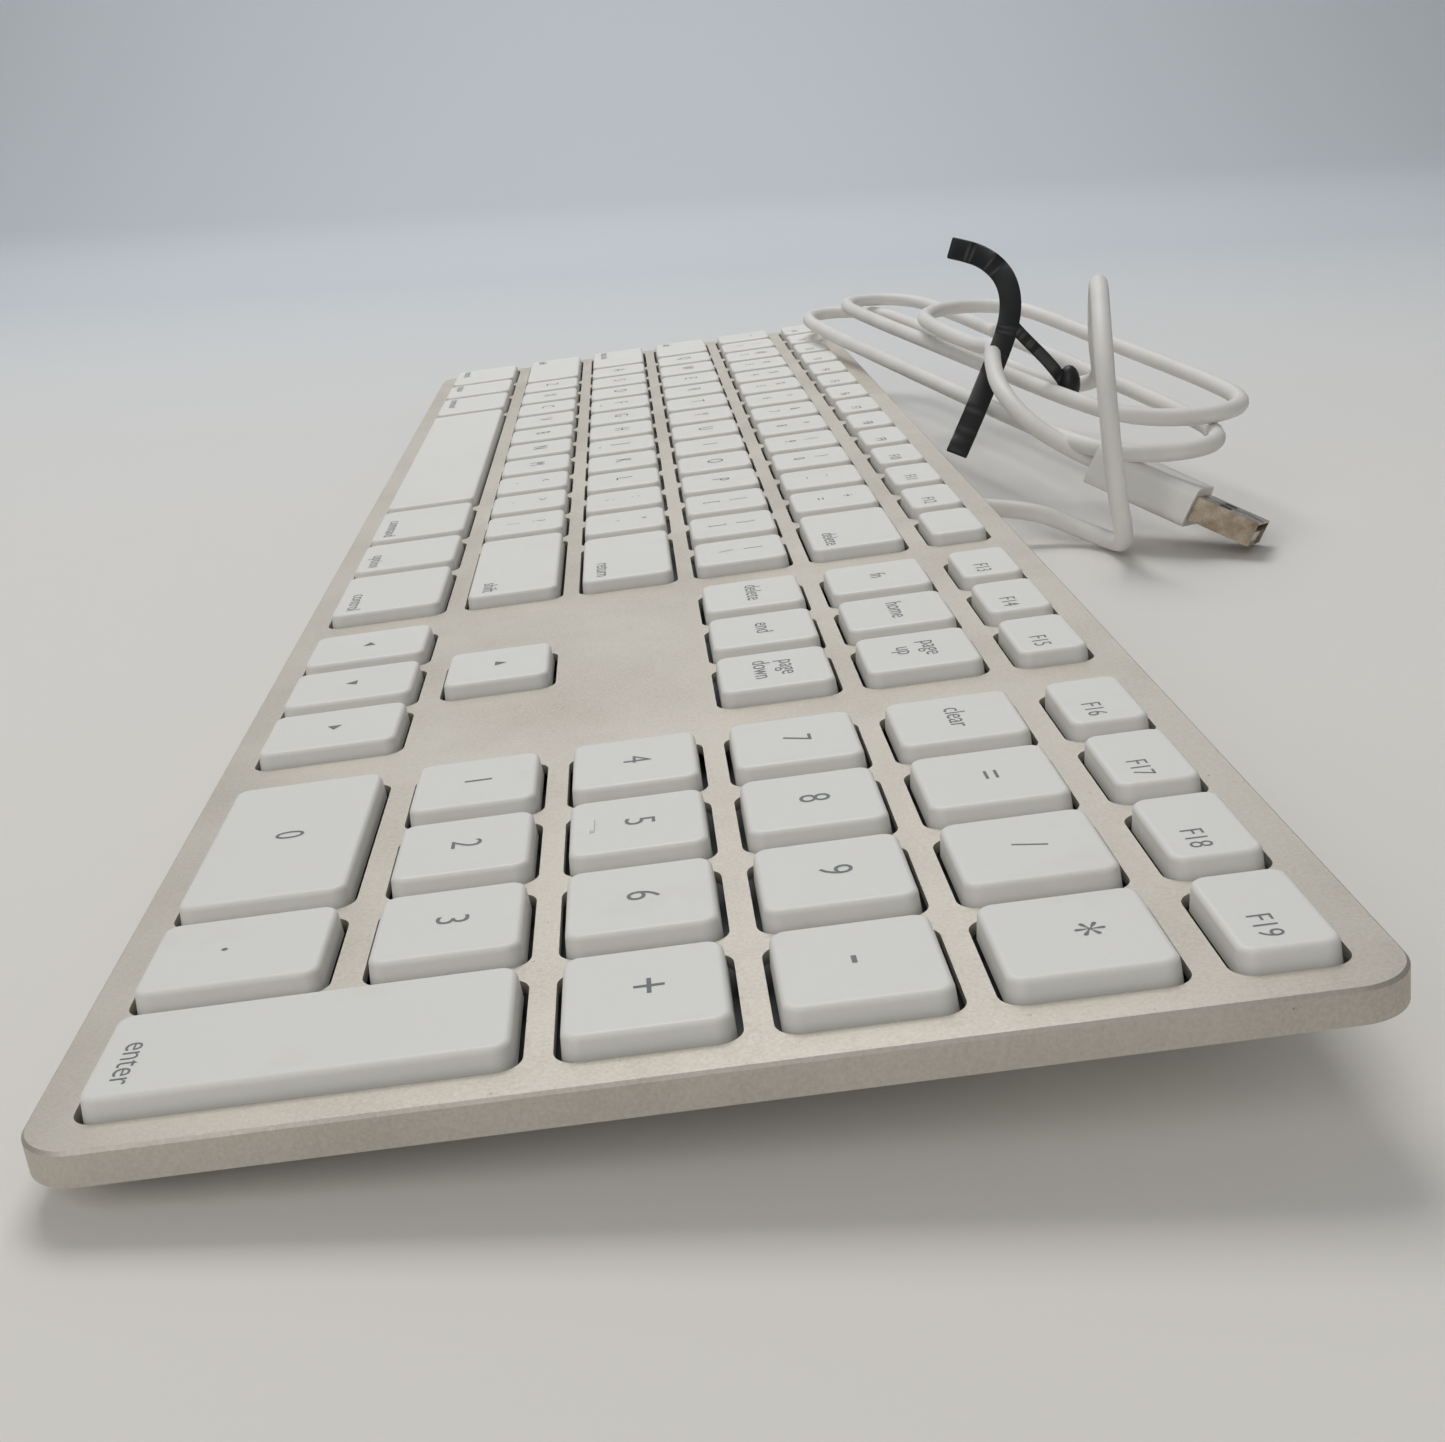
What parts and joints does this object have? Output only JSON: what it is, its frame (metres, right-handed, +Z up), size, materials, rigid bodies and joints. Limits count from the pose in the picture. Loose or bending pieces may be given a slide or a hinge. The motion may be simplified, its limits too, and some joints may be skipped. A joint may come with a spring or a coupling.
{
  "type": "computer keyboard",
  "caption": "Slim full-size wired computer keyboard with a numeric keypad, an aluminium top plate, white island keys and a tied cable.",
  "frame": {"origin": "on the table, under the middle of the keyboard without its cable", "axes": "+X along the keyboard towards the numeric keypad end, +Y to the rear edge where the cable leaves, +Z up"},
  "size_m": [0.432, 0.1725, 0.0546],
  "materials": {
    "anodised_aluminium": "fine blasted and clear anodised",
    "key_plastic": "satin moulded",
    "shell_plastic": "satin moulded",
    "steel": "rolled sheet",
    "membrane_film": "clear film with printed tracks",
    "silicone": "moulded silicone",
    "link_plastic": "moulded",
    "circuit_board": "solder mask",
    "socket_metal": "nickel plated",
    "foot_rubber": "moulded",
    "cable_jacket": "soft extruded jacket",
    "plug_plastic": "moulded over the plug",
    "plug_metal": "nickel plated, worn",
    "plug_insert": "moulded insulator",
    "tie_plastic": "ribbed plastic over wire"
  },
  "bodies": {
    "chassis": {"board_screws": "steel", "bottom_shell": "shell_plastic", "cable_bundle": "cable_jacket", "cable_grommet": "cable_jacket", "cable_lead": "cable_jacket", "cable_tail": "cable_jacket", "controller_board": "circuit_board", "key_support_plate": "steel", "membrane_lower_sheet": "membrane_film", "membrane_spacer": "membrane_film", "membrane_upper_sheet": "membrane_film", "plug_body": "plug_plastic", "plug_insert": "plug_insert", "plug_shell": "plug_metal", "rubber_domes": "silicone", "rubber_feet": "foot_rubber", "scissor_inner_links": "link_plastic", "scissor_outer_links": "link_plastic", "top_plate": "anodised_aluminium", "twist_tie": "tie_plastic", "usb_sockets": "socket_metal"},
    "key_0": {"key_0": "key_plastic"},
    "key_1": {"key_1": "key_plastic"},
    "key_2": {"key_2": "key_plastic"},
    "key_3": {"key_3": "key_plastic"},
    "key_4": {"key_4": "key_plastic"},
    "key_5": {"key_5": "key_plastic"},
    "key_6": {"key_6": "key_plastic"},
    "key_7": {"key_7": "key_plastic"},
    "key_8": {"key_8": "key_plastic"},
    "key_9": {"key_9": "key_plastic"},
    "key_clear": {"key_clear": "key_plastic"},
    "key_decimal": {"key_decimal": "key_plastic"},
    "key_divide": {"key_divide": "key_plastic"},
    "key_down": {"key_down": "key_plastic"},
    "key_end": {"key_end": "key_plastic"},
    "key_enter": {"key_enter": "key_plastic"},
    "key_equals": {"key_equals": "key_plastic"},
    "key_f16": {"key_f16": "key_plastic"},
    "key_f17": {"key_f17": "key_plastic"},
    "key_f18": {"key_f18": "key_plastic"},
    "key_f19": {"key_f19": "key_plastic"},
    "key_forward_delete": {"key_forward_delete": "key_plastic"},
    "key_function": {"key_function": "key_plastic"},
    "key_home": {"key_home": "key_plastic"},
    "key_left": {"key_left": "key_plastic"},
    "key_minus": {"key_minus": "key_plastic"},
    "key_multiply": {"key_multiply": "key_plastic"},
    "key_page_down": {"key_page_down": "key_plastic"},
    "key_page_up": {"key_page_up": "key_plastic"},
    "key_plus": {"key_plus": "key_plastic"},
    "key_right": {"key_right": "key_plastic"},
    "key_space": {"key_space": "key_plastic"},
    "key_up": {"key_up": "key_plastic"},
    "keys_function_row": {"keys_function_row": "key_plastic"},
    "keys_home_row": {"keys_home_row": "key_plastic"},
    "keys_lower_row": {"keys_lower_row": "key_plastic"},
    "keys_modifier_row": {"keys_modifier_row": "key_plastic"},
    "keys_number_row": {"keys_number_row": "key_plastic"},
    "keys_upper_row": {"keys_upper_row": "key_plastic"}
  },
  "joints": [
    {"name": "key_0_press", "type": "slide", "parent": "chassis", "child": "key_0", "axis": [0, -0.0872, 0.9962], "range_m": [-0.0018, 0], "stiffness_N_per_m": 300, "springref_m": 0.0006, "deforming": ["rubber_domes", "scissor_outer_links", "scissor_inner_links"]},
    {"name": "key_1_press", "type": "slide", "parent": "chassis", "child": "key_1", "axis": [0, -0.0872, 0.9962], "range_m": [-0.0018, 0], "stiffness_N_per_m": 300, "springref_m": 0.0006},
    {"name": "key_2_press", "type": "slide", "parent": "chassis", "child": "key_2", "axis": [0, -0.0872, 0.9962], "range_m": [-0.0018, 0], "stiffness_N_per_m": 300, "springref_m": 0.0006},
    {"name": "key_3_press", "type": "slide", "parent": "chassis", "child": "key_3", "axis": [0, -0.0872, 0.9962], "range_m": [-0.0018, 0], "stiffness_N_per_m": 300, "springref_m": 0.0006},
    {"name": "key_4_press", "type": "slide", "parent": "chassis", "child": "key_4", "axis": [0, -0.0872, 0.9962], "range_m": [-0.0018, 0], "stiffness_N_per_m": 300, "springref_m": 0.0006},
    {"name": "key_5_press", "type": "slide", "parent": "chassis", "child": "key_5", "axis": [0, -0.0872, 0.9962], "range_m": [-0.0018, 0], "stiffness_N_per_m": 300, "springref_m": 0.0006},
    {"name": "key_6_press", "type": "slide", "parent": "chassis", "child": "key_6", "axis": [0, -0.0872, 0.9962], "range_m": [-0.0018, 0], "stiffness_N_per_m": 300, "springref_m": 0.0006},
    {"name": "key_7_press", "type": "slide", "parent": "chassis", "child": "key_7", "axis": [0, -0.0872, 0.9962], "range_m": [-0.0018, 0], "stiffness_N_per_m": 300, "springref_m": 0.0006},
    {"name": "key_8_press", "type": "slide", "parent": "chassis", "child": "key_8", "axis": [0, -0.0872, 0.9962], "range_m": [-0.0018, 0], "stiffness_N_per_m": 300, "springref_m": 0.0006},
    {"name": "key_9_press", "type": "slide", "parent": "chassis", "child": "key_9", "axis": [0, -0.0872, 0.9962], "range_m": [-0.0018, 0], "stiffness_N_per_m": 300, "springref_m": 0.0006},
    {"name": "key_clear_press", "type": "slide", "parent": "chassis", "child": "key_clear", "axis": [0, -0.0872, 0.9962], "range_m": [-0.0018, 0], "stiffness_N_per_m": 300, "springref_m": 0.0006},
    {"name": "key_decimal_press", "type": "slide", "parent": "chassis", "child": "key_decimal", "axis": [0, -0.0872, 0.9962], "range_m": [-0.0018, 0], "stiffness_N_per_m": 300, "springref_m": 0.0006},
    {"name": "key_divide_press", "type": "slide", "parent": "chassis", "child": "key_divide", "axis": [0, -0.0872, 0.9962], "range_m": [-0.0018, 0], "stiffness_N_per_m": 300, "springref_m": 0.0006},
    {"name": "key_down_press", "type": "slide", "parent": "chassis", "child": "key_down", "axis": [0, -0.0872, 0.9962], "range_m": [-0.0018, 0], "stiffness_N_per_m": 300, "springref_m": 0.0006},
    {"name": "key_end_press", "type": "slide", "parent": "chassis", "child": "key_end", "axis": [0, -0.0872, 0.9962], "range_m": [-0.0018, 0], "stiffness_N_per_m": 300, "springref_m": 0.0006},
    {"name": "key_enter_press", "type": "slide", "parent": "chassis", "child": "key_enter", "axis": [0, -0.0872, 0.9962], "range_m": [-0.0018, 0], "stiffness_N_per_m": 300, "springref_m": 0.0006},
    {"name": "key_equals_press", "type": "slide", "parent": "chassis", "child": "key_equals", "axis": [0, -0.0872, 0.9962], "range_m": [-0.0018, 0], "stiffness_N_per_m": 300, "springref_m": 0.0006},
    {"name": "key_f16_press", "type": "slide", "parent": "chassis", "child": "key_f16", "axis": [0, -0.0872, 0.9962], "range_m": [-0.0018, 0], "stiffness_N_per_m": 300, "springref_m": 0.0006},
    {"name": "key_f17_press", "type": "slide", "parent": "chassis", "child": "key_f17", "axis": [0, -0.0872, 0.9962], "range_m": [-0.0018, 0], "stiffness_N_per_m": 300, "springref_m": 0.0006},
    {"name": "key_f18_press", "type": "slide", "parent": "chassis", "child": "key_f18", "axis": [0, -0.0872, 0.9962], "range_m": [-0.0018, 0], "stiffness_N_per_m": 300, "springref_m": 0.0006},
    {"name": "key_f19_press", "type": "slide", "parent": "chassis", "child": "key_f19", "axis": [0, -0.0872, 0.9962], "range_m": [-0.0018, 0], "stiffness_N_per_m": 300, "springref_m": 0.0006},
    {"name": "key_forward_delete_press", "type": "slide", "parent": "chassis", "child": "key_forward_delete", "axis": [0, -0.0872, 0.9962], "range_m": [-0.0018, 0], "stiffness_N_per_m": 300, "springref_m": 0.0006},
    {"name": "key_function_press", "type": "slide", "parent": "chassis", "child": "key_function", "axis": [0, -0.0872, 0.9962], "range_m": [-0.0018, 0], "stiffness_N_per_m": 300, "springref_m": 0.0006},
    {"name": "key_home_press", "type": "slide", "parent": "chassis", "child": "key_home", "axis": [0, -0.0872, 0.9962], "range_m": [-0.0018, 0], "stiffness_N_per_m": 300, "springref_m": 0.0006},
    {"name": "key_left_press", "type": "slide", "parent": "chassis", "child": "key_left", "axis": [0, -0.0872, 0.9962], "range_m": [-0.0018, 0], "stiffness_N_per_m": 300, "springref_m": 0.0006},
    {"name": "key_minus_press", "type": "slide", "parent": "chassis", "child": "key_minus", "axis": [0, -0.0872, 0.9962], "range_m": [-0.0018, 0], "stiffness_N_per_m": 300, "springref_m": 0.0006},
    {"name": "key_multiply_press", "type": "slide", "parent": "chassis", "child": "key_multiply", "axis": [0, -0.0872, 0.9962], "range_m": [-0.0018, 0], "stiffness_N_per_m": 300, "springref_m": 0.0006},
    {"name": "key_page_down_press", "type": "slide", "parent": "chassis", "child": "key_page_down", "axis": [0, -0.0872, 0.9962], "range_m": [-0.0018, 0], "stiffness_N_per_m": 300, "springref_m": 0.0006},
    {"name": "key_page_up_press", "type": "slide", "parent": "chassis", "child": "key_page_up", "axis": [0, -0.0872, 0.9962], "range_m": [-0.0018, 0], "stiffness_N_per_m": 300, "springref_m": 0.0006},
    {"name": "key_plus_press", "type": "slide", "parent": "chassis", "child": "key_plus", "axis": [0, -0.0872, 0.9962], "range_m": [-0.0018, 0], "stiffness_N_per_m": 300, "springref_m": 0.0006},
    {"name": "key_right_press", "type": "slide", "parent": "chassis", "child": "key_right", "axis": [0, -0.0872, 0.9962], "range_m": [-0.0018, 0], "stiffness_N_per_m": 300, "springref_m": 0.0006},
    {"name": "key_space_press", "type": "slide", "parent": "chassis", "child": "key_space", "axis": [0, -0.0872, 0.9962], "range_m": [-0.0018, 0], "stiffness_N_per_m": 1200, "springref_m": 0.0006},
    {"name": "key_up_press", "type": "slide", "parent": "chassis", "child": "key_up", "axis": [0, -0.0872, 0.9962], "range_m": [-0.0018, 0], "stiffness_N_per_m": 300, "springref_m": 0.0006},
    {"name": "keys_function_row_press", "type": "slide", "parent": "chassis", "child": "keys_function_row", "axis": [0, -0.0872, 0.9962], "range_m": [-0.0018, 0], "stiffness_N_per_m": 5100, "springref_m": 0.0006},
    {"name": "keys_home_row_press", "type": "slide", "parent": "chassis", "child": "keys_home_row", "axis": [0, -0.0872, 0.9962], "range_m": [-0.0018, 0], "stiffness_N_per_m": 3900, "springref_m": 0.0006},
    {"name": "keys_lower_row_press", "type": "slide", "parent": "chassis", "child": "keys_lower_row", "axis": [0, -0.0872, 0.9962], "range_m": [-0.0018, 0], "stiffness_N_per_m": 3600, "springref_m": 0.0006},
    {"name": "keys_modifier_row_press", "type": "slide", "parent": "chassis", "child": "keys_modifier_row", "axis": [0, -0.0872, 0.9962], "range_m": [-0.0018, 0], "stiffness_N_per_m": 1800, "springref_m": 0.0006},
    {"name": "keys_number_row_press", "type": "slide", "parent": "chassis", "child": "keys_number_row", "axis": [0, -0.0872, 0.9962], "range_m": [-0.0018, 0], "stiffness_N_per_m": 4200, "springref_m": 0.0006},
    {"name": "keys_upper_row_press", "type": "slide", "parent": "chassis", "child": "keys_upper_row", "axis": [0, -0.0872, 0.9962], "range_m": [-0.0018, 0], "stiffness_N_per_m": 4200, "springref_m": 0.0006}
  ]
}
